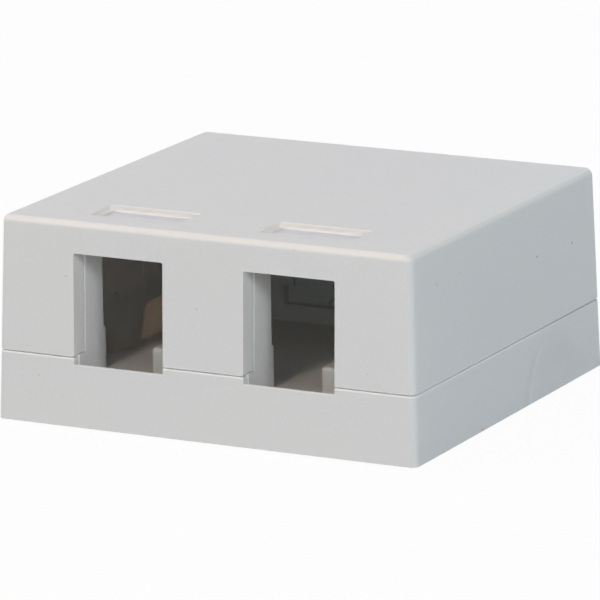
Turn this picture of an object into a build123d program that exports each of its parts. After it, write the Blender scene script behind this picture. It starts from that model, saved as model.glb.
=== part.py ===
from build123d import *
from math import radians, tan
import os

# Surface mount jack box: a drafted base and a lift-off cover around two empty keystone ports.
# Millimetres, +Z up, the ports face -Y. Every height below is measured up from the base's underside.
# The origin lies on the mounting surface, under the middle of the box.

# Outer form
base_width = 69.9
base_depth = 66.7
box_height = 31.4
seam_height = 10.55
draft_angle = 1.75
corner_radius = 1.2
top_edge_radius = 1.2
lip_round = 0.25

# Walls
base_wall = 2.0
floor_thickness = 2.0
core_draft = 0.5
core_corner_radius = 0.8
floor_fillet = 0.5
cover_wall = 2.0
cover_top = 2.0
cover_inner_radius = 0.8

# Lapped joint between the base and the cover
tongue_height = 0.6
tongue_thickness = 0.9
low_tongue_height = 0.3
joint_gap = 0.1
lug_width = 2.5
lug_height = 0.9
lug_round = 0.6
lug_clearance = 0.15
lug_place = 0.05

# Keystone ports
port_pitch = 28.4
window_width = 15.0
window_corner_radius = 0.3
sill_height = 9.6
sill_thickness = 1.3
sill_round = 0.3
sill_fall = 20
lintel_drop = 4.9
jamb_depth = 3.0
frame_border = 1.6
lip_corner_radius = 0.45
cradle_width = 14.5
cradle_wall = 1.5
cradle_headroom = 1.0
cradle_depth = 8.8
cradle_step_height = 13.4
cradle_step = 0.6
jamb_clearance = 0.2
crossbar_height = 1.8
crossbar_depth = 3.9

# Bench behind the cradles, which catches the jacks' latches
bench_top = 7.0
bench_width = 50.0
bench_front_overlap = 1.6
bench_depth = 25.9
bench_skin = 1.6
bench_corner_width = 2.5
bench_corner_length = 4.5
bench_front_length = 8.5
bench_rib = 1.2
stop_height = 3.95
stop_offset = 0.7
stop_depth = 3.5
stop_round = 0.6

# Knock-out panels in the base's side and rear walls
knockout_skin = 0.8
knockout_foot = 15.8
knockout_crown = 11.4
knockout_height = 6.4
knockout_radius = 1.5
knockout_setback = 15.2

# Screw slots
slot_pitch = 36.0
slot_length = 9.0
slot_width = 4.3
slot_setback = 12.0
boss_rim = 2.0
boss_height = 0.6

# Locating tabs of the cover, and the grooves and catch pockets for them in the base
tab_width = 6.8
tab_thickness = 0.7
tab_setback = 0.1
tab_tip_height = 5.4
tab_tip_chamfer = 1.1
tab_clearance = 0.15
tab_bead = 0.2
tab_bead_height = 2.0
rear_tab_pitch = 28.0
groove_depth = 1.1
pocket_margin = 1.9
pocket_floor = 4.7
pocket_height = 3.1
pocket_depth = 1.6

# Pads over the knock-outs inside the cover
backing_width = 13.4
backing_thickness = 0.4
backing_height = 6.5
backing_lift = 0.3

# Label recesses in the cover's top
label_length = 15.0
label_width = 7.1
label_depth = 1.0
label_setback = 5.0
label_corner_radius = 0.5
label_rim_round = 0.25
label_floor_fillet = 0.4

# Adhesive strips under the base
strip_width = 7.0
strip_side_margin = 2.45
strip_end_margin = 6.35
strip_recess = 0.6
strip_margin = 0.3
foam_thickness = 0.9
liner_thickness = 0.1

# Derived places
slope = tan(radians(draft_angle))
core_slope = tan(radians(core_draft))
tongue_top = seam_height + tongue_height
low_tongue_top = seam_height + low_tongue_height
tongue_inset = base_wall - tongue_thickness
rebate_inset = tongue_inset - joint_gap
cover_lip = seam_height + joint_gap
strip_proud = foam_thickness + liner_thickness - strip_recess
strip_pitch = base_width - strip_width - 2 * strip_side_margin
strip_length = base_depth - 2 * strip_end_margin
port_centers = [-port_pitch / 2, port_pitch / 2]
lintel_height = box_height - lintel_drop
cradle_height = box_height - cover_top - cradle_headroom
front_at_seam = -(base_depth / 2 - seam_height * slope)
sill_back = front_at_seam + sill_thickness
cradle_back = front_at_seam + cradle_depth
bench_front = cradle_back + cradle_step - bench_front_overlap
overshoot = 1.0
sink = 0.4


def outer_half(size, z):
    """Half of an outer size at a height, after the draft."""
    return size / 2 - z * slope


def core_half(size, z):
    """Half of the base's inner size at a height: the core widens upwards from the seam's width."""
    return outer_half(size, seam_height) - base_wall - (seam_height - z) * core_slope


def rising_edges(part):
    """The four edges that run up the corners of a drafted block."""
    return part.edges().sort_by(Axis.Z)[4:-4]


def drafted_block(z_low, z_high, inset=0.0):
    """Block with the box's drafted sides, set in by a wall."""
    width = 2 * (outer_half(base_width, z_low) - inset)
    depth = 2 * (outer_half(base_depth, z_low) - inset)
    return extrude(Pos(0, 0, z_low) * Rectangle(width, depth), z_high - z_low, taper=draft_angle)


def wall_slab(outer_inset, inner_inset, z_low, z_high):
    """Ring of wall between two insets, parallel to the drafted sides."""
    outer = drafted_block(z_low, z_high, outer_inset)
    return outer - drafted_block(z_low - overshoot, z_high + overshoot, inner_inset)


def range_about(center, half):
    """Lower and upper limit of something centred on a place."""
    return (center - half, center + half)


def box_between(x_range, y_range, z_range):
    """Plain box between three pairs of limits."""
    size = [high - low for low, high in (x_range, y_range, z_range)]
    middle = [(low + high) / 2 for low, high in (x_range, y_range, z_range)]
    return Pos(*middle) * Box(*size)


def profile_along_x(points, x_low, x_high):
    """Solid from an outline of (y, z) points, between two values of x."""
    face = Plane.YZ * make_face(Polyline(*points, close=True))
    return Pos(x_low, 0, 0) * extrude(face, x_high - x_low)


def base_tray():
    """Open tray with its tongue, before the ports and fittings."""
    outer = drafted_block(0, seam_height)
    outer = fillet(rising_edges(outer), corner_radius)
    outer = fillet(outer.faces().sort_by(Axis.Z)[-1].edges(), lip_round)
    tongue = drafted_block(floor_thickness, tongue_top, tongue_inset)
    tongue = fillet(rising_edges(tongue), core_corner_radius)
    width = 2 * core_half(base_width, floor_thickness)
    depth = 2 * core_half(base_depth, floor_thickness)
    core_height = tongue_top + overshoot - floor_thickness
    core = extrude(Pos(0, 0, floor_thickness) * Rectangle(width, depth), core_height, taper=-core_draft)
    core = fillet(rising_edges(core), core_corner_radius)
    core = fillet(core.faces().sort_by(Axis.Z)[0].edges(), floor_fillet)
    return outer + tongue - core


def sill_notch(center_x):
    """Notch in the base's front wall that lowers the sill below the seam."""
    z_range = (sill_height, seam_height + overshoot)
    return box_between(range_about(center_x, window_width / 2), (-base_depth, sill_back), z_range)


def sill_bevel(center_x):
    """Wedge that lets the top of a sill fall away inwards, behind its rounded outer edge."""
    front = front_at_seam + sill_round
    back = sill_back + overshoot
    drop = (back - front) * tan(radians(sill_fall))
    outline = [(front, sill_height), (back, sill_height), (back, sill_height - drop)]
    return profile_along_x(outline, *range_about(center_x, window_width / 2))


def tongue_break(center_x):
    """Cut that lowers the tongue beside a port, where the cover's jambs come down almost to the seam."""
    half = window_width / 2 + frame_border + jamb_clearance
    z_range = (low_tongue_top, tongue_top + overshoot)
    return box_between(range_about(center_x, half), (-base_depth, cradle_back), z_range)


def cradle_well(center_x):
    """Space between a cradle's walls, which thins the front wall behind the sill."""
    y_range = (sill_back, -core_half(base_depth, floor_thickness) + 2 * floor_fillet)
    return box_between(range_about(center_x, cradle_width / 2), y_range, (floor_thickness, tongue_top))


def with_sills(part):
    """Open the front wall at the two ports and round the sills' outer edges."""
    for x in port_centers:
        part -= tongue_break(x)
        part -= sill_notch(x)
    level = part.edges().filter_by(Axis.X)
    level = level.filter_by_position(Axis.Z, sill_height - sill_round, sill_height + sill_round)
    part = fillet(level.sort_by(Axis.Y)[:2], sill_round)
    for x in port_centers:
        part -= sill_bevel(x)
        part -= cradle_well(x)
    return part


def cradle_front(z):
    """Front edge of a cradle at a height: it follows the cover's draft behind the jambs."""
    return -outer_half(base_depth, z) + jamb_depth + jamb_clearance


def cradle(center_x):
    """Two side walls and a crossbar that hold one jack."""
    outline = [
        (sill_back, floor_thickness - sink),
        (sill_back, low_tongue_top),
        (cradle_front(low_tongue_top), low_tongue_top),
        (cradle_front(cradle_height), cradle_height),
        (cradle_back, cradle_height),
        (cradle_back, cradle_step_height),
        (cradle_back + cradle_step, cradle_step_height),
        (cradle_back + cradle_step, floor_thickness - sink),
    ]
    half = cradle_width / 2
    left = profile_along_x(outline, center_x - half - cradle_wall, center_x - half)
    right = profile_along_x(outline, center_x + half, center_x + half + cradle_wall)
    bar = box_between(
        range_about(center_x, half + sink),
        (cradle_back - crossbar_depth, cradle_back),
        (cradle_height - crossbar_height, cradle_height),
    )
    return left + right + bar


def bench_outline():
    """Plan of the bench: a wide front, then both sides step in."""
    wide = bench_width / 2
    narrow = wide - bench_corner_width
    step_start = bench_front + bench_front_length
    step_end = step_start + bench_corner_length
    back = bench_front + bench_depth
    right = [(wide, bench_front), (wide, step_start), (narrow, step_end), (narrow, back)]
    left = [(-x, y) for x, y in reversed(right)]
    return make_face(Polyline(*right, *left, close=True))


def bench():
    """Raised bench across the tray, open underneath, with one middle rib."""
    plan = bench_outline()
    return Pos(0, 0, floor_thickness - sink) * extrude(plan, bench_top - floor_thickness + sink)


def bench_hollow():
    """Pocket under the bench, which keeps its skin even."""
    inner = offset(bench_outline(), amount=-bench_skin, kind=Kind.INTERSECTION)
    pocket = Pos(0, 0, -overshoot) * extrude(inner, bench_top - bench_skin + overshoot)
    rib = box_between((-bench_rib / 2, bench_rib / 2), (-base_depth, base_depth), (0, bench_top))
    return pocket - rib


def jack_stop(center_x):
    """Block on the bench, behind the right half of a cradle, with rounded left and upper edges."""
    block = box_between(
        (center_x + stop_offset, center_x + cradle_width / 2),
        (cradle_back + cradle_step - sink, cradle_back + cradle_step + stop_depth),
        (bench_top - sink, bench_top + stop_height),
    )
    left_edges = block.edges().filter_by(Axis.Z).sort_by(Axis.X)[:2]
    top_edges = block.faces().sort_by(Axis.Z)[-1].edges()
    return fillet(left_edges + top_edges.sort_by(Axis.X)[:-1], stop_round)


def knockout_tool():
    """Arched outline of a knock-out in the XZ plane, extruded towards +Y from y = 0."""
    foot = knockout_foot / 2
    crown = knockout_crown / 2
    top = floor_thickness + knockout_height
    points = [(-foot, floor_thickness), (-crown, top), (crown, top), (foot, floor_thickness)]
    face = Plane.XZ * make_face(Polyline(*points, close=True))
    tool = extrude(face, -2 * base_wall)
    upper = tool.edges().filter_by(Axis.Y).sort_by(Axis.Z)[-2:]
    return fillet(upper, knockout_radius)


def knockout_cuts():
    """Recesses that leave thin panels in the side walls and the rear wall."""
    top = floor_thickness + knockout_height
    reach_x = outer_half(base_width, top) - knockout_skin - 2 * base_wall
    reach_y = outer_half(base_depth, top) - knockout_skin - 2 * base_wall
    cut = Pos(0, reach_y, 0) * knockout_tool()
    for turn in (-90, 90):
        shift = Pos(0, knockout_setback, 0) * Rot(0, 0, turn)
        cut += shift * Pos(0, reach_x, 0) * knockout_tool()
    return cut


def slot_places():
    """Middles of the two screw slots."""
    y = bench_front + bench_depth + slot_setback
    return [(-slot_pitch / 2, y), (slot_pitch / 2, y)]


def slot_bosses():
    """Raised rims round the screw slots."""
    plan = SlotOverall(slot_length + 2 * boss_rim, slot_width + 2 * boss_rim)
    solid = extrude(plan, boss_height + sink)
    result = Part()
    for x, y in slot_places():
        result += Pos(x, y, floor_thickness - sink) * solid
    return result


def slot_cuts():
    """The screw slots themselves, through the floor."""
    solid = extrude(SlotOverall(slot_length, slot_width), floor_thickness + boss_height + 2 * overshoot)
    result = Part()
    for x, y in slot_places():
        result += Pos(x, y, -overshoot) * solid
    return result


def tab_places():
    """Middle of each locating tab and the wall it hangs on: 1 for the rear, -1 for the front."""
    return [(-rear_tab_pitch / 2, 1), (rear_tab_pitch / 2, 1), (0, -1)]


def groove_cuts():
    """Grooves in the base's inner faces, open at the top, each with a wider catch pocket at its foot."""
    face = core_half(base_depth, seam_height)
    result = Part()
    for x, side in tab_places():
        open_side = side * (face - base_wall)
        groove = sorted((open_side, side * (face + groove_depth)))
        pocket = sorted((open_side, side * (face + pocket_depth)))
        narrow = range_about(x, tab_width / 2 + tab_clearance)
        wide = range_about(x, tab_width / 2 + pocket_margin)
        result += box_between(narrow, groove, (pocket_floor, tongue_top + overshoot))
        result += box_between(wide, pocket, (pocket_floor, pocket_floor + pocket_height))
    return result


def lug_bar(growth):
    """Bar with rounded corners through both side walls, centred on the tongue's top edge."""
    width = lug_width + 2 * growth
    height = 2 * (lug_height + growth)
    plan = Plane.YZ * Pos(lug_place, tongue_top) * RectangleRounded(width, height, lug_round + growth)
    return extrude(plan, base_width, both=True)


def seat_lugs():
    """Round-topped lugs on the tongue's two sides, which key into the cover."""
    slab = wall_slab(tongue_inset, base_wall, tongue_top - sink, tongue_top + 2 * lug_height)
    return slab & lug_bar(0)


def strip_places():
    """Middles of the two adhesive strips, left then right."""
    return [-strip_pitch / 2, strip_pitch / 2]


def strip_cuts():
    """Shallow recesses under the floor for the adhesive strips."""
    size = (strip_width + 2 * strip_margin, strip_length + 2 * strip_margin, 2 * strip_recess)
    result = Part()
    for x in strip_places():
        result += Pos(x, 0, 0) * Box(*size)
    return result


def make_base():
    """Base moulding: tray, cradles, bench, bosses and all its cuts."""
    part = with_sills(base_tray())
    part += bench()
    for x in port_centers:
        part += cradle(x)
        part += jack_stop(x)
    part += slot_bosses()
    part -= bench_hollow()
    part -= knockout_cuts()
    part -= slot_cuts()
    part -= groove_cuts()
    part -= strip_cuts()
    part += seat_lugs()
    return part


def cover_shell():
    """Five-sided shell with rounded outer edges and the rebate for the tongue."""
    outer = drafted_block(cover_lip, box_height)
    outer = fillet(rising_edges(outer), corner_radius)
    outer = fillet(outer.faces().sort_by(Axis.Z)[-1].edges(), top_edge_radius)
    outer = fillet(outer.faces().sort_by(Axis.Z)[0].edges(), lip_round)
    inner = drafted_block(seam_height - overshoot, box_height - cover_top, cover_wall)
    inner = fillet(rising_edges(inner), cover_inner_radius)
    inner = fillet(inner.faces().sort_by(Axis.Z)[-1].edges(), cover_inner_radius)
    rebate = drafted_block(seam_height - overshoot, tongue_top, rebate_inset)
    rebate = fillet(rising_edges(rebate), core_corner_radius)
    return outer - inner - rebate


def window_frame(center_x):
    """Thicker wall round a window, down to the low tongue, which gives the jambs their depth."""
    foot = low_tongue_top + joint_gap
    slab = wall_slab(rebate_inset - sink, jamb_depth, foot, lintel_height + frame_border)
    x_range = range_about(center_x, window_width / 2 + frame_border)
    return slab & box_between(x_range, (-base_depth, 0), (0, box_height))


def lip_corner(corner_x, side):
    """Cutter that rounds the cover's lower corner beside a window, outwards on the given side."""
    middle_x = corner_x + side * lip_corner_radius
    middle_z = cover_lip + lip_corner_radius
    x_range = sorted((corner_x - side * sink, middle_x))
    block = box_between(x_range, (-base_depth, 0), (0, middle_z))
    return block - Pos(middle_x, 0, middle_z) * Rot(90, 0, 0) * Cylinder(lip_corner_radius, 2 * base_depth)


def window_cut(center_x):
    """Window in the cover's front wall, open down to the lip."""
    half = window_width / 2
    tool = box_between(range_about(center_x, half), (-base_depth, 0), (-overshoot, lintel_height))
    tool = fillet(tool.edges().filter_by(Axis.Y).sort_by(Axis.Z)[-2:], window_corner_radius)
    for side in (-1, 1):
        tool += lip_corner(center_x + side * half, side)
    return tool


def backing_pads():
    """Pads on the cover's side walls above the side knock-outs."""
    z_low = tongue_top + backing_lift
    slab = wall_slab(cover_wall - sink, cover_wall + backing_thickness, z_low, z_low + backing_height)
    y_range = range_about(knockout_setback, backing_width / 2)
    return slab & box_between((-base_width, base_width), y_range, (0, box_height))


def lug_notches():
    """Notches in the cover's inner skin for the lugs."""
    slab = wall_slab(rebate_inset, cover_wall + sink, tongue_top - sink, tongue_top + 2 * lug_height)
    return slab & lug_bar(lug_clearance)


def locating_tab(center_x, side):
    """Tab that hangs from the cover's wall into a groove of the base, with a bead and a narrowed tip."""
    inner = core_half(base_depth, seam_height) + tab_setback
    outer = inner + tab_thickness
    bead_top = tab_tip_height + tab_bead_height
    outline = [
        (inner, tongue_top + sink),
        (outer, tongue_top + sink),
        (outer, bead_top),
        (outer + tab_bead, bead_top - tab_bead),
        (outer + tab_bead, tab_tip_height + tab_bead),
        (outer, tab_tip_height),
        (inner, tab_tip_height),
    ]
    points = [(side * y, z) for y, z in outline]
    tab = profile_along_x(points, *range_about(center_x, tab_width / 2))
    tip_corners = tab.edges().filter_by(Axis.Y).sort_by(Axis.Z)[:2]
    return chamfer(tip_corners, tab_tip_chamfer)


def with_label_recesses(part):
    """Cut the label recesses into the top, with filleted floors and rounded rims."""
    y = -outer_half(base_depth, box_height) + label_setback + label_width / 2
    plan = RectangleRounded(label_length, label_width, label_corner_radius)
    tool = extrude(plan, 2 * label_depth)
    tool = fillet(tool.faces().sort_by(Axis.Z)[0].edges(), label_floor_fillet)
    for x in port_centers:
        part -= Pos(x, y, box_height - label_depth) * tool
    top_face = part.faces().sort_by(Axis.Z)[-1]
    rims = [edge for wire in top_face.inner_wires() for edge in wire.edges()]
    return fillet(rims, label_rim_round)


def make_cover():
    """Cover moulding: shell, frames, windows, pads, tabs and label recesses."""
    part = cover_shell()
    for x in port_centers:
        part += window_frame(x)
    for x in port_centers:
        part -= window_cut(x)
    part += backing_pads()
    part -= lug_notches()
    for x, side in tab_places():
        part += locating_tab(x, side)
    return with_label_recesses(part)


def make_foam(center_x):
    """Foam strip that lies in its recess and stands a little proud of the underside."""
    top = strip_recess
    plan = (range_about(center_x, strip_width / 2), range_about(0, strip_length / 2))
    return box_between(*plan, (top - foam_thickness, top))


def make_liner(center_x):
    """Release liner on the lower face of a foam strip."""
    top = strip_recess - foam_thickness
    plan = (range_about(center_x, strip_width / 2), range_about(0, strip_length / 2))
    return box_between(*plan, (top - liner_thickness, top))


def write_node(name, part):
    """Stand the piece on the mounting surface and write it."""
    placed = Pos(0, 0, strip_proud) * part
    placed.label = name
    export_step(placed, f"parts/{name}.step")


os.makedirs("parts", exist_ok=True)
write_node("base", make_base())
write_node("cover", make_cover())
for side_name, strip_x in zip(("left", "right"), strip_places()):
    write_node(f"foam_strip_{side_name}", make_foam(strip_x))
    write_node(f"strip_liner_{side_name}", make_liner(strip_x))
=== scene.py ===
import math

import bpy
from mathutils import Matrix, Vector


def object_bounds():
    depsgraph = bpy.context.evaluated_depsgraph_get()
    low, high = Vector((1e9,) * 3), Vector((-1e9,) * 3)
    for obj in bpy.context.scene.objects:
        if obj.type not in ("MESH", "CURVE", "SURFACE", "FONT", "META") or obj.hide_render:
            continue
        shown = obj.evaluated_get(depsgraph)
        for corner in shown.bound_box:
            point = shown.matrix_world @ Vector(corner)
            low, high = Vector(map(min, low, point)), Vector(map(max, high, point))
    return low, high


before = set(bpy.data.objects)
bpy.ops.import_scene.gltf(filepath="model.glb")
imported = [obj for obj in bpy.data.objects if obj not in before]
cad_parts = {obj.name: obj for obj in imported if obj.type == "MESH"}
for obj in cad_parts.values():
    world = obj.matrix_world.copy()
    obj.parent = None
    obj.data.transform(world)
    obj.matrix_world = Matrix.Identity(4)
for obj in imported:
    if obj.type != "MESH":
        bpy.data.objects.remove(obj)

CAD_BOX = [list(corner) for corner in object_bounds()]

# Half width, half depth and height of the box. Sizes and places on it are in millimetres.
HALF_WIDTH, HALF_DEPTH, TOP = (1000.0 * size for size in CAD_BOX[1])

# Seam: its height, the part of the lips that carries the full painted highlight and where it ends, and the
# stretch of the sides over which it fades towards the rear
SEAM = 10.98
LIP_FULL, LIP_END = 0.20, 0.36
LIP_FADE = (6.0, 22.0)

# How far in from the largest outline a place still belongs to the painted lip highlight, the panels and the
# wall with the painted streak
LIP_DEPTH, PANEL_DEPTH, STREAK_DEPTH = 0.95, 1.35, 1.05

# Label recesses: the layer under the top that holds them, the level between floors and top, and the
# reach of the places that lie inside the top's rounds
TOP_LAYER = TOP - 1.5
RECESS_LEVEL = TOP - 0.5
INSIDE_ROUNDS = 30.0

# Ports: the side walls of both lie within this width and in front of this place
PORTS_WIDTH, PORTS_BACK = 22.2, -24.0

# Parts of the surface normal, upward or to one side, between which a mask fades in or out
ROUND_STARTS, ROUND_ENDS = (0.12, 0.40), (0.88, 0.99)
WALL_ENDS, FLOOR_STARTS = (0.80, 0.95), (0.95, 0.99)
SIDEWAYS, FACING_RIGHT = (0.80, 0.95), (0.5, 0.9)

# Thin knock-out panels: middle of those in the sides, half width at the foot, narrowing for each
# millimetre of height, foot, head, and softness of their edges
PANEL_MIDDLE = 15.2
PANEL_HALF, PANEL_TAPER = 8.72, 0.344
PANEL_FOOT, PANEL_HEAD, PANEL_SOFT = 2.6, 8.6, 0.7

# Painted highlight streak on the right side: start and end height, place at the start, lean, bend, strength
# and the distances over which it fades, then the offset, strength and fading of the painted shade before it
STREAK_LOW, STREAK_HIGH = 2.0, 8.3
STREAK_FOOT, STREAK_LEAN, STREAK_BEND = 6.88, 0.195, 0.083
STREAK_HIGHLIGHT, STREAK_FADE = 0.05, (0.1, 0.9)
SHADE_OFFSET, SHADE_DARK, SHADE_FADE = 1.6, 0.035, (0.3, 1.4)

# Colours of the plastic, and painted light: a highlight on the seam lips, highlights on the edges and port
# sides, a cool reflection on the recess floors and light on the recess walls that face right
WHITE = (0.718, 0.720, 0.724)
WHITE_WARM = (0.728, 0.725, 0.722)
SPECK = (0.10, 0.10, 0.10)
LIP_HIGHLIGHT_WHITE = (0.85, 0.85, 0.85)
EDGE_HIGHLIGHT_TINT = (1.19, 1.15, 1.10)
PORT_SIDE_HIGHLIGHT_SHARE = 0.55
RECESS_FLOOR_REFLECTION_TINT = (0.975, 0.985, 1.04)
RECESS_SIDE_LIGHT_TINT = (1.135, 1.08, 1.03)

# Share of light that the walls and the panels let through, its tint, and how much paler the plastic is
# made for the light that a surface loses that way
WALL_GLOW = 0.016
SIDE_PANEL_GLOW = 0.08
REAR_PANEL_GLOW = 0.22
THROUGH = (1.0, 0.83, 0.66)
LOSS_GAIN, LOSS_GAIN_RISE = 0.42, 2.7

# Noises of the plastic, each with its features per millimetre, detail and roughness, and what they drive
MOTTLING, GRAIN, SATIN, SPARK = (0.06, 2.0, 0.5), (3.0, 3.0, 0.6), (0.9, 3.0, 0.6), (5.0, 2.0, 0.5)
GRAIN_RANGE = (0.975, 1.02)
SATIN_ROUGHNESS, RECESS_SMOOTHER = (0.40, 0.52), 0.12
SPARK_BUMP = (0.15, 0.00002)
PLASTIC_IOR = 1.5

# Place, radius and darkness of each dark inclusion
COVER_SPECKS = [
    (34.3, -24.3, 25.8, 0.17, 0.8), (34.3, -16.4, 25.8, 0.16, 0.7), (34.4, 10.5, 22.4, 0.22, 0.9),
    (34.4, 23.2, 21.8, 0.20, 0.9), (34.7, -24.4, 13.8, 0.13, 0.5), (34.3, -9.1, 26.7, 0.14, 0.25),
    (34.4, 14.9, 21.4, 0.16, 0.25), (34.4, 0.0, 21.7, 0.15, 0.2),
    (30.5, -14.3, 31.8, 0.16, 0.25), (7.8, 10.9, 31.8, 0.18, 0.12), (21.2, -14.3, 31.8, 0.18, 0.12),
    (-1.0, -32.7, 20.5, 0.13, 0.45), (-23.0, -32.6, 23.3, 0.13, 0.35), (15.1, -32.4, 30.9, 0.12, 0.25),
    (27.0, -32.9, 13.6, 0.12, 0.25),
]
BASE_SPECKS = [(-27.7, -33.1, 7.8, 0.15, 0.25), (34.9, -10.5, 0.7, 0.20, 0.45)]

# Foam and release paper of the adhesive strips: colours, cells with their painted shade or fibres, roughness
# and bump
FOAM_WHITE, FOAM_SHADE = (0.86, 0.85, 0.82), (0.55, 0.82)
FOAM_CELLS, FOAM_CELL_REACH = 4.0, 0.6
FOAM_ROUGHNESS, FOAM_BUMP = (0.75, 0.95), (0.6, 0.0001)
PAPER, PAPER_PALE = (0.83, 0.79, 0.68), (0.90, 0.87, 0.78)
FIBRES, FIBRE_STRETCH = (1.2, 5.0, 0.65), (3.0, 0.6, 3.0)
PAPER_ROUGHNESS, PAPER_BUMP = (0.32, 0.5), (0.25, 0.00003)

# Floor: half its side and its drop under the object in metres, its colour, and the share of it that the
# camera sees as white, which leaves the rest to the shadow
FLOOR_HALF, FLOOR_DROP = 3.0, 0.00002
FLOOR_PALE = (0.82, 0.82, 0.82)
FLOOR_SEEN_WHITE = 0.96

# Name, azimuth, elevation, distance and size in metres, watts and colour of each lamp
LAMPS = [
    ("key", -1.5, 36.0, 1.2, 0.14, 2.8, (1.0, 0.81, 0.62)),
    ("side_spot", 60.0, 20.0, 1.2, 0.24, 3.7, (0.93, 0.95, 1.0)),
    ("front_fill", 10.0, 5.0, 1.5, 1.2, 3.8, (0.64, 0.95, 1.0)),
    ("right_fill", 45.0, 15.0, 1.5, 1.0, 1.3, (0.50, 0.90, 1.0)),
    ("left_top", -75.0, 45.0, 1.5, 1.0, 10.0, (1.0, 0.88, 0.93)),
    ("rear_left", -135.0, 35.0, 1.5, 1.0, 1.4, (1.0, 0.75, 0.60)),
    ("rear_top", 180.0, 55.0, 1.5, 1.0, 2.5, (0.55, 0.88, 1.0)),
    ("rear_fill", 180.0, 12.0, 1.5, 1.0, 3.4, (0.72, 0.92, 1.0)),
]
LAMP_TARGET = (0.0, 0.0, 0.015)
SURROUND = (0.84, 1.0, 1.08)
SURROUND_STRENGTH = 0.13
PURE_WHITE = (1.0, 1.0, 1.0)

# Camera: angles in degrees, place in metres, sensor and lens in millimetres
CAMERA_AZIMUTH, CAMERA_ELEVATION, CAMERA_ROLL = 27.07, 13.80, -0.78
CAMERA_PLACE = (0.38333, -0.75128, 0.22179)
SENSOR, LENS = 36.0, 342.26
CAMERA_REACH = 20.0


# Nodes

def new_material(name):
    """Empty node material with an output and a Principled shader."""
    mat = bpy.data.materials.new(name)
    mat.use_nodes = True
    tree = mat.node_tree
    tree.nodes.clear()
    tree.nodes.new("ShaderNodeOutputMaterial")
    shader = tree.nodes.new("ShaderNodeBsdfPrincipled")
    set_surface(tree, shader.outputs["BSDF"])
    return mat, tree, shader


def set_surface(tree, socket):
    """Make a shader the surface of the material or the world."""
    out = next(node for node in tree.nodes if node.bl_idname.startswith("ShaderNodeOutput"))
    tree.links.new(socket, out.inputs["Surface"])


def mix_shaders(tree, factor, first, second):
    """Shader that goes from the first to the second with the factor."""
    mixer = tree.nodes.new("ShaderNodeMixShader")
    for socket, value in zip(mixer.inputs, (factor, first, second)):
        tree.links.new(value, socket)
    return mixer.outputs["Shader"]


def plain_glow(tree, kind, colour, strength):
    """Emission or Background shader of one colour."""
    made = tree.nodes.new(kind)
    made.inputs["Color"].default_value = (*colour, 1.0)
    made.inputs["Strength"].default_value = strength
    return made.outputs[0]


def object_coords(tree):
    """Object coordinates in millimetres; every CAD node has the shared frame as its own."""
    coords = tree.nodes.new("ShaderNodeTexCoord")
    scale = tree.nodes.new("ShaderNodeVectorMath")
    scale.operation = "SCALE"
    scale.inputs["Scale"].default_value = 1000.0
    tree.links.new(coords.outputs["Object"], scale.inputs[0])
    return scale.outputs["Vector"]


def split_axes(tree, vector):
    """The three components of a vector."""
    made = tree.nodes.new("ShaderNodeSeparateXYZ")
    tree.links.new(vector, made.inputs[0])
    return [made.outputs[axis] for axis in "XYZ"]


def normal_axes(tree):
    """The three components of the surface normal."""
    return split_axes(tree, tree.nodes.new("ShaderNodeNewGeometry").outputs["Normal"])


def math_node(tree, operation, a, b=None):
    """Math node whose operands are sockets or numbers."""
    made = tree.nodes.new("ShaderNodeMath")
    made.operation = operation
    for socket, value in zip(made.inputs, (a, b)):
        if value is None:
            continue
        if isinstance(value, (int, float)):
            socket.default_value = value
        else:
            tree.links.new(value, socket)
    return made.outputs["Value"]


def combine(tree, operation, *values):
    """Chain of one operation over several sockets or numbers."""
    total = values[0]
    for value in values[1:]:
        total = math_node(tree, operation, total, value)
    return total


def absolute(tree, value):
    """Absolute value of a socket."""
    return math_node(tree, "ABSOLUTE", value)


def remap(tree, value, low, high, to_low=0.0, to_high=1.0):
    """Clamped linear remap of a value."""
    made = tree.nodes.new("ShaderNodeMapRange")
    made.clamp = True
    for name, number in (("From Min", low), ("From Max", high), ("To Min", to_low), ("To Max", to_high)):
        made.inputs[name].default_value = number
    tree.links.new(value, made.inputs["Value"])
    return made.outputs["Result"]


def above(tree, value, at, soft=0.15):
    """Soft step from 0 to 1 where a value passes a place."""
    return remap(tree, math_node(tree, "SUBTRACT", value, at), -soft, soft)


def below(tree, value, at, soft=0.15):
    """Soft step from 1 to 0 where a value passes a place."""
    return remap(tree, math_node(tree, "SUBTRACT", value, at), -soft, soft, 1.0, 0.0)


def noise(tree, coords, scale, detail=2.0, roughness=0.5):
    """Noise texture; scale is in features per millimetre."""
    made = tree.nodes.new("ShaderNodeTexNoise")
    made.inputs["Scale"].default_value = scale
    made.inputs["Detail"].default_value = detail
    made.inputs["Roughness"].default_value = roughness
    tree.links.new(coords, made.inputs["Vector"])
    return made.outputs["Fac"]


def mix_colour(tree, factor, a, b, blend="MIX"):
    """Mix two colours, each a socket or a tuple, by a socket or a number."""
    made = tree.nodes.new("ShaderNodeMix")
    made.data_type = "RGBA"
    made.blend_type = blend
    for socket, value in ((made.inputs[0], factor), (made.inputs[6], a), (made.inputs[7], b)):
        if isinstance(value, (int, float)):
            socket.default_value = value
        elif isinstance(value, tuple):
            socket.default_value = (*value, 1.0)
        else:
            tree.links.new(value, socket)
    return made.outputs[2]


def bump(tree, shader, height, strength, distance):
    """Bump of a height socket; distance is in metres."""
    made = tree.nodes.new("ShaderNodeBump")
    made.inputs["Strength"].default_value = strength
    made.inputs["Distance"].default_value = distance
    tree.links.new(height, made.inputs["Height"])
    tree.links.new(made.outputs["Normal"], shader.inputs["Normal"])


# Masks and tints of the plastic

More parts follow.
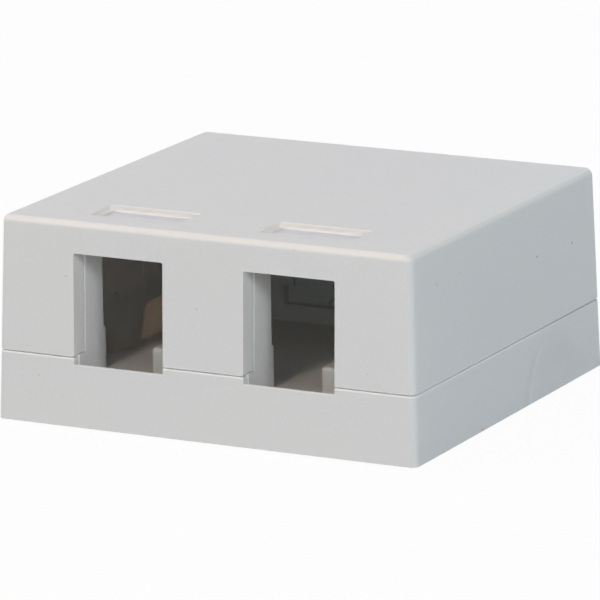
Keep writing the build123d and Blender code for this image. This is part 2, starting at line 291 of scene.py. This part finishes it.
def specks_mask(tree, coords, specks):
    """Mask of small round spots, each given by its place, radius and strength."""
    spots = []
    for x, y, z, radius, strength in specks:
        made = tree.nodes.new("ShaderNodeVectorMath")
        made.operation = "DISTANCE"
        made.inputs[1].default_value = (x, y, z)
        tree.links.new(coords, made.inputs[0])
        spots.append(remap(tree, made.outputs["Value"], radius * 0.6, radius * 1.3, strength, 0.0))
    return combine(tree, "MAXIMUM", *spots)


def panel_glow(tree, coords):
    """Share of light let through: little in the walls, more in the thin arched knock-out panels."""
    x, y, z = split_axes(tree, coords)
    across = absolute(tree, x)
    along = absolute(tree, math_node(tree, "SUBTRACT", y, PANEL_MIDDLE))
    half = math_node(tree, "SUBTRACT", PANEL_HALF, math_node(tree, "MULTIPLY", z, PANEL_TAPER))
    tall = combine(
        tree, "MULTIPLY",
        above(tree, z, PANEL_FOOT, PANEL_SOFT), below(tree, z, PANEL_HEAD, PANEL_SOFT),
    )
    side = combine(
        tree, "MULTIPLY",
        above(tree, across, HALF_WIDTH - PANEL_DEPTH), below(tree, along, half, PANEL_SOFT), tall,
    )
    rear = combine(
        tree, "MULTIPLY",
        above(tree, y, HALF_DEPTH - PANEL_DEPTH), below(tree, across, half, PANEL_SOFT), tall,
    )
    side = remap(tree, side, 0.0, 1.0, WALL_GLOW, SIDE_PANEL_GLOW)
    rear = remap(tree, rear, 0.0, 1.0, WALL_GLOW, REAR_PANEL_GLOW)
    return math_node(tree, "MAXIMUM", side, rear)


def loss_gain(tree, glow):
    """Brightness that makes up for most of the light a surface lets through."""
    rise = math_node(tree, "ADD", math_node(tree, "MULTIPLY", glow, LOSS_GAIN_RISE), LOSS_GAIN)
    return math_node(tree, "ADD", 1.0, math_node(tree, "MULTIPLY", glow, rise))


def painted_lip_highlight(tree, coords):
    """Mask of a painted highlight along the outer lips of the seam, where their rounds catch the light."""
    x, y, z = split_axes(tree, coords)
    off = absolute(tree, math_node(tree, "SUBTRACT", z, SEAM))
    sides = combine(
        tree, "MULTIPLY",
        above(tree, absolute(tree, x), HALF_WIDTH - LIP_DEPTH), remap(tree, y, *LIP_FADE, 1.0, 0.0),
    )
    ends = above(tree, absolute(tree, y), HALF_DEPTH - LIP_DEPTH)
    outside = math_node(tree, "MAXIMUM", sides, ends)
    return math_node(tree, "MULTIPLY", outside, remap(tree, off, LIP_FULL, LIP_END, 1.0, 0.0))


def painted_edge_highlights(tree, coords):
    """Mask of painted highlights: the top's rounds, the recess walls and the ports' sides."""
    x, y, z = split_axes(tree, coords)
    across, _, lean = normal_axes(tree)
    rounds = combine(
        tree, "MULTIPLY",
        remap(tree, lean, *ROUND_STARTS), remap(tree, lean, *ROUND_ENDS, 1.0, 0.0),
    )
    walls = combine(
        tree, "MULTIPLY",
        below(tree, absolute(tree, x), INSIDE_ROUNDS), below(tree, absolute(tree, y), INSIDE_ROUNDS),
        remap(tree, lean, *WALL_ENDS, 1.0, 0.0),
    )
    top = math_node(tree, "MULTIPLY", above(tree, z, TOP_LAYER), math_node(tree, "MAXIMUM", rounds, walls))
    port_sides = combine(
        tree, "MULTIPLY",
        below(tree, absolute(tree, x), PORTS_WIDTH), below(tree, y, PORTS_BACK),
        remap(tree, absolute(tree, across), *SIDEWAYS, 0.0, PORT_SIDE_HIGHLIGHT_SHARE),
    )
    return math_node(tree, "MAXIMUM", top, port_sides)


def recess_floors(tree, coords):
    """Mask of the floors of the label recesses."""
    _, y, z = split_axes(tree, coords)
    _, _, lean = normal_axes(tree)
    return combine(
        tree, "MULTIPLY",
        above(tree, z, TOP_LAYER), below(tree, z, RECESS_LEVEL),
        below(tree, absolute(tree, y), INSIDE_ROUNDS), remap(tree, lean, *FLOOR_STARTS),
    )


def painted_recess_side_light(tree, coords):
    """Mask of painted light on the left walls of the label recesses, which face the light from the right."""
    x, _, z = split_axes(tree, coords)
    across, _, _ = normal_axes(tree)
    return combine(
        tree, "MULTIPLY",
        above(tree, z, TOP_LAYER), below(tree, absolute(tree, x), INSIDE_ROUNDS),
        remap(tree, across, *FACING_RIGHT),
    )


def painted_streak_light_and_shade(tree, coords):
    """Brightness of the right side: a painted highlight streak, with painted shade before it, where the
    knock-out's edge reads through the wall.
    """
    x, y, z = split_axes(tree, coords)
    rise = math_node(tree, "SUBTRACT", z, STREAK_LOW)
    bend = combine(tree, "MULTIPLY", rise, rise, STREAK_BEND)
    line = combine(tree, "ADD", bend, math_node(tree, "MULTIPLY", rise, STREAK_LEAN), STREAK_FOOT)
    off = math_node(tree, "SUBTRACT", y, line)
    before = math_node(tree, "ADD", off, SHADE_OFFSET)
    pale = remap(tree, absolute(tree, off), *STREAK_FADE, STREAK_HIGHLIGHT, 0.0)
    dark = remap(tree, absolute(tree, before), *SHADE_FADE, SHADE_DARK, 0.0)
    wall = above(tree, x, HALF_WIDTH - STREAK_DEPTH)
    change = combine(
        tree, "MULTIPLY",
        wall, below(tree, z, STREAK_HIGH), math_node(tree, "SUBTRACT", pale, dark),
    )
    return math_node(tree, "ADD", change, 1.0)


# Materials

def let_light_through(tree, shader, amount):
    """Pass a share of the light through the wall, with a warm tint, and all of it that is inside the wall."""
    through = tree.nodes.new("ShaderNodeBsdfTranslucent")
    through.inputs["Color"].default_value = (*THROUGH, 1.0)
    inside = tree.nodes.new("ShaderNodeNewGeometry").outputs["Backfacing"]
    share = math_node(tree, "MAXIMUM", inside, amount)
    set_surface(tree, mix_shaders(tree, share, shader.outputs["BSDF"], through.outputs["BSDF"]))


def moulded_plastic(name, specks):
    """Satin moulded plastic: faint mottling, fine spark texture, dark inclusions, light coming through, and
    painted highlights, reflection, light and shade on its edges, lips, recesses and right side.
    """
    mat, tree, shader = new_material(name)
    coords = object_coords(tree)
    glow = panel_glow(tree, coords)
    floors = recess_floors(tree, coords)

    mottling = remap(tree, noise(tree, coords, *MOTTLING), 0.35, 0.65)
    colour = mix_colour(tree, mottling, WHITE, WHITE_WARM)
    grain = remap(tree, noise(tree, coords, *GRAIN), 0.3, 0.7, *GRAIN_RANGE)
    # the streak gain paints a highlight streak and shade on the right side
    for gain in (grain, loss_gain(tree, glow), painted_streak_light_and_shade(tree, coords)):
        colour = mix_colour(tree, 1.0, colour, gain, "MULTIPLY")
    painted_light_tints = (
        # painted highlights on the top's rounds, the recess walls and the ports' sides
        (painted_edge_highlights(tree, coords), EDGE_HIGHLIGHT_TINT),
        # painted cool reflection on the recess floors
        (floors, RECESS_FLOOR_REFLECTION_TINT),
        # painted light on the recess walls that face right
        (painted_recess_side_light(tree, coords), RECESS_SIDE_LIGHT_TINT),
    )
    for mask, tint in painted_light_tints:
        colour = mix_colour(tree, mask, colour, tint, "MULTIPLY")
    # painted highlight along the seam's outer lips
    colour = mix_colour(tree, painted_lip_highlight(tree, coords), colour, LIP_HIGHLIGHT_WHITE)
    colour = mix_colour(tree, specks_mask(tree, coords, specks), colour, SPECK)
    tree.links.new(colour, shader.inputs["Base Color"])

    satin = remap(tree, noise(tree, coords, *SATIN), 0.3, 0.7, *SATIN_ROUGHNESS)
    rough = math_node(tree, "SUBTRACT", satin, math_node(tree, "MULTIPLY", floors, RECESS_SMOOTHER))
    tree.links.new(rough, shader.inputs["Roughness"])
    shader.inputs["IOR"].default_value = PLASTIC_IOR
    bump(tree, shader, noise(tree, coords, *SPARK), *SPARK_BUMP)
    let_light_through(tree, shader, glow)
    return mat


def foam(name):
    """Closed-cell foam: small round cells in a pale body, with painted shade in their hollows."""
    mat, tree, shader = new_material(name)
    coords = object_coords(tree)
    cells = tree.nodes.new("ShaderNodeTexVoronoi")
    cells.inputs["Scale"].default_value = FOAM_CELLS
    tree.links.new(coords, cells.inputs["Vector"])
    # painted shade, darkest in the middle of each cell
    shade = remap(tree, cells.outputs["Distance"], 0.0, FOAM_CELL_REACH, *FOAM_SHADE)
    tree.links.new(mix_colour(tree, 1.0, FOAM_WHITE, shade, "MULTIPLY"), shader.inputs["Base Color"])
    rough = remap(tree, noise(tree, coords, 2.0), 0.3, 0.7, *FOAM_ROUGHNESS)
    tree.links.new(rough, shader.inputs["Roughness"])
    bump(tree, shader, cells.outputs["Distance"], *FOAM_BUMP)
    return mat


def liner(name):
    """Waxed release paper: long fibres and a faint sheen."""
    mat, tree, shader = new_material(name)
    stretch = tree.nodes.new("ShaderNodeVectorMath")
    stretch.operation = "MULTIPLY"
    stretch.inputs[1].default_value = FIBRE_STRETCH
    tree.links.new(object_coords(tree), stretch.inputs[0])
    fibres = noise(tree, stretch.outputs["Vector"], *FIBRES)
    tint = remap(tree, fibres, 0.3, 0.7)
    tree.links.new(mix_colour(tree, tint, PAPER, PAPER_PALE), shader.inputs["Base Color"])
    rough = remap(tree, fibres, 0.3, 0.7, *PAPER_ROUGHNESS)
    tree.links.new(rough, shader.inputs["Roughness"])
    bump(tree, shader, fibres, *PAPER_BUMP)
    return mat


def dress(name, mat):
    """Give a CAD node one material."""
    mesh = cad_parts[name].data
    mesh.materials.clear()
    mesh.materials.append(mat)


def dress_object():
    """Materials of all the CAD nodes."""
    dress("base", moulded_plastic("base_plastic", BASE_SPECKS))
    dress("cover", moulded_plastic("cover_plastic", COVER_SPECKS))
    foam_material = foam("strip_foam")
    liner_material = liner("liner_paper")
    for side in ("left", "right"):
        dress(f"foam_strip_{side}", foam_material)
        dress(f"strip_liner_{side}", liner_material)


# Floor and light

def link(obj):
    """Put an object into the scene."""
    bpy.context.scene.collection.objects.link(obj)


def make_floor():
    """Pale floor that shows white to the camera and keeps the object's shadow."""
    mesh = bpy.data.meshes.new("floor")
    corners = [(FLOOR_HALF * x, FLOOR_HALF * y, 0) for x, y in ((-1, -1), (1, -1), (1, 1), (-1, 1))]
    mesh.from_pydata(corners, [], [(0, 1, 2, 3)])
    floor = bpy.data.objects.new("floor", mesh)
    link(floor)
    floor.location.z = -FLOOR_DROP
    mat, tree, shader = new_material("floor")
    shader.inputs["Base Color"].default_value = (*FLOOR_PALE, 1.0)
    shader.inputs["Roughness"].default_value = 0.9
    shader.inputs["Specular IOR Level"].default_value = 0.1
    white = plain_glow(tree, "ShaderNodeEmission", PURE_WHITE, 1.0)
    rays = tree.nodes.new("ShaderNodeLightPath").outputs
    seen = math_node(tree, "MULTIPLY", rays["Is Camera Ray"], FLOOR_SEEN_WHITE)
    seen = math_node(tree, "MAXIMUM", seen, rays["Is Glossy Ray"])
    set_surface(tree, mix_shaders(tree, seen, shader.outputs["BSDF"], white))
    mesh.materials.append(mat)


def direction(azimuth, elevation):
    """Unit vector from the box; azimuth is to the right of -Y, and both angles are in degrees."""
    turn, tilt = math.radians(azimuth), math.radians(elevation)
    return Vector((math.sin(turn) * math.cos(tilt), -math.cos(turn) * math.cos(tilt), math.sin(tilt)))


def area_light(name, azimuth, elevation, distance, size, power, colour):
    """Square softbox at a direction from the box, turned to it."""
    data = bpy.data.lights.new(name, "AREA")
    data.shape = "SQUARE"
    data.size = size
    data.energy = power
    data.color = colour
    lamp = bpy.data.objects.new(name, data)
    link(lamp)
    lamp.location = direction(azimuth, elevation) * distance
    lamp.rotation_euler = (Vector(LAMP_TARGET) - lamp.location).to_track_quat("-Z", "Y").to_euler()


def make_light():
    """Lamps, a broad cool surround, and white for what the camera and glossy surfaces see."""
    for lamp in LAMPS:
        area_light(*lamp)
    world = bpy.data.worlds.new("studio")
    bpy.context.scene.world = world
    world.use_nodes = True
    tree = world.node_tree
    tree.nodes.clear()
    tree.nodes.new("ShaderNodeOutputWorld")
    surround = plain_glow(tree, "ShaderNodeBackground", SURROUND, SURROUND_STRENGTH)
    white = plain_glow(tree, "ShaderNodeBackground", PURE_WHITE, 1.0)
    rays = tree.nodes.new("ShaderNodeLightPath").outputs
    seen = math_node(tree, "MAXIMUM", rays["Is Camera Ray"], rays["Is Glossy Ray"])
    set_surface(tree, mix_shaders(tree, seen, surround, white))


# Camera

def make_camera():
    """Long lens at the photograph's viewing angle."""
    back = direction(CAMERA_AZIMUTH, CAMERA_ELEVATION)
    roll = math.radians(CAMERA_ROLL)
    right = (-back).cross(Vector((0, 0, 1))).normalized()
    up = right.cross(-back)
    tilted_right = math.cos(roll) * right + math.sin(roll) * up
    tilted_up = -math.sin(roll) * right + math.cos(roll) * up
    data = bpy.data.cameras.new("camera")
    data.sensor_width = SENSOR
    data.lens = LENS
    data.clip_end = CAMERA_REACH
    camera = bpy.data.objects.new("camera", data)
    link(camera)
    axes = Matrix((tilted_right, tilted_up, back)).transposed().to_4x4()
    camera.matrix_world = Matrix.Translation(Vector(CAMERA_PLACE)) @ axes
    bpy.context.scene.camera = camera


dress_object()
make_floor()
make_light()
make_camera()
bpy.context.scene.view_settings.view_transform = "Standard"
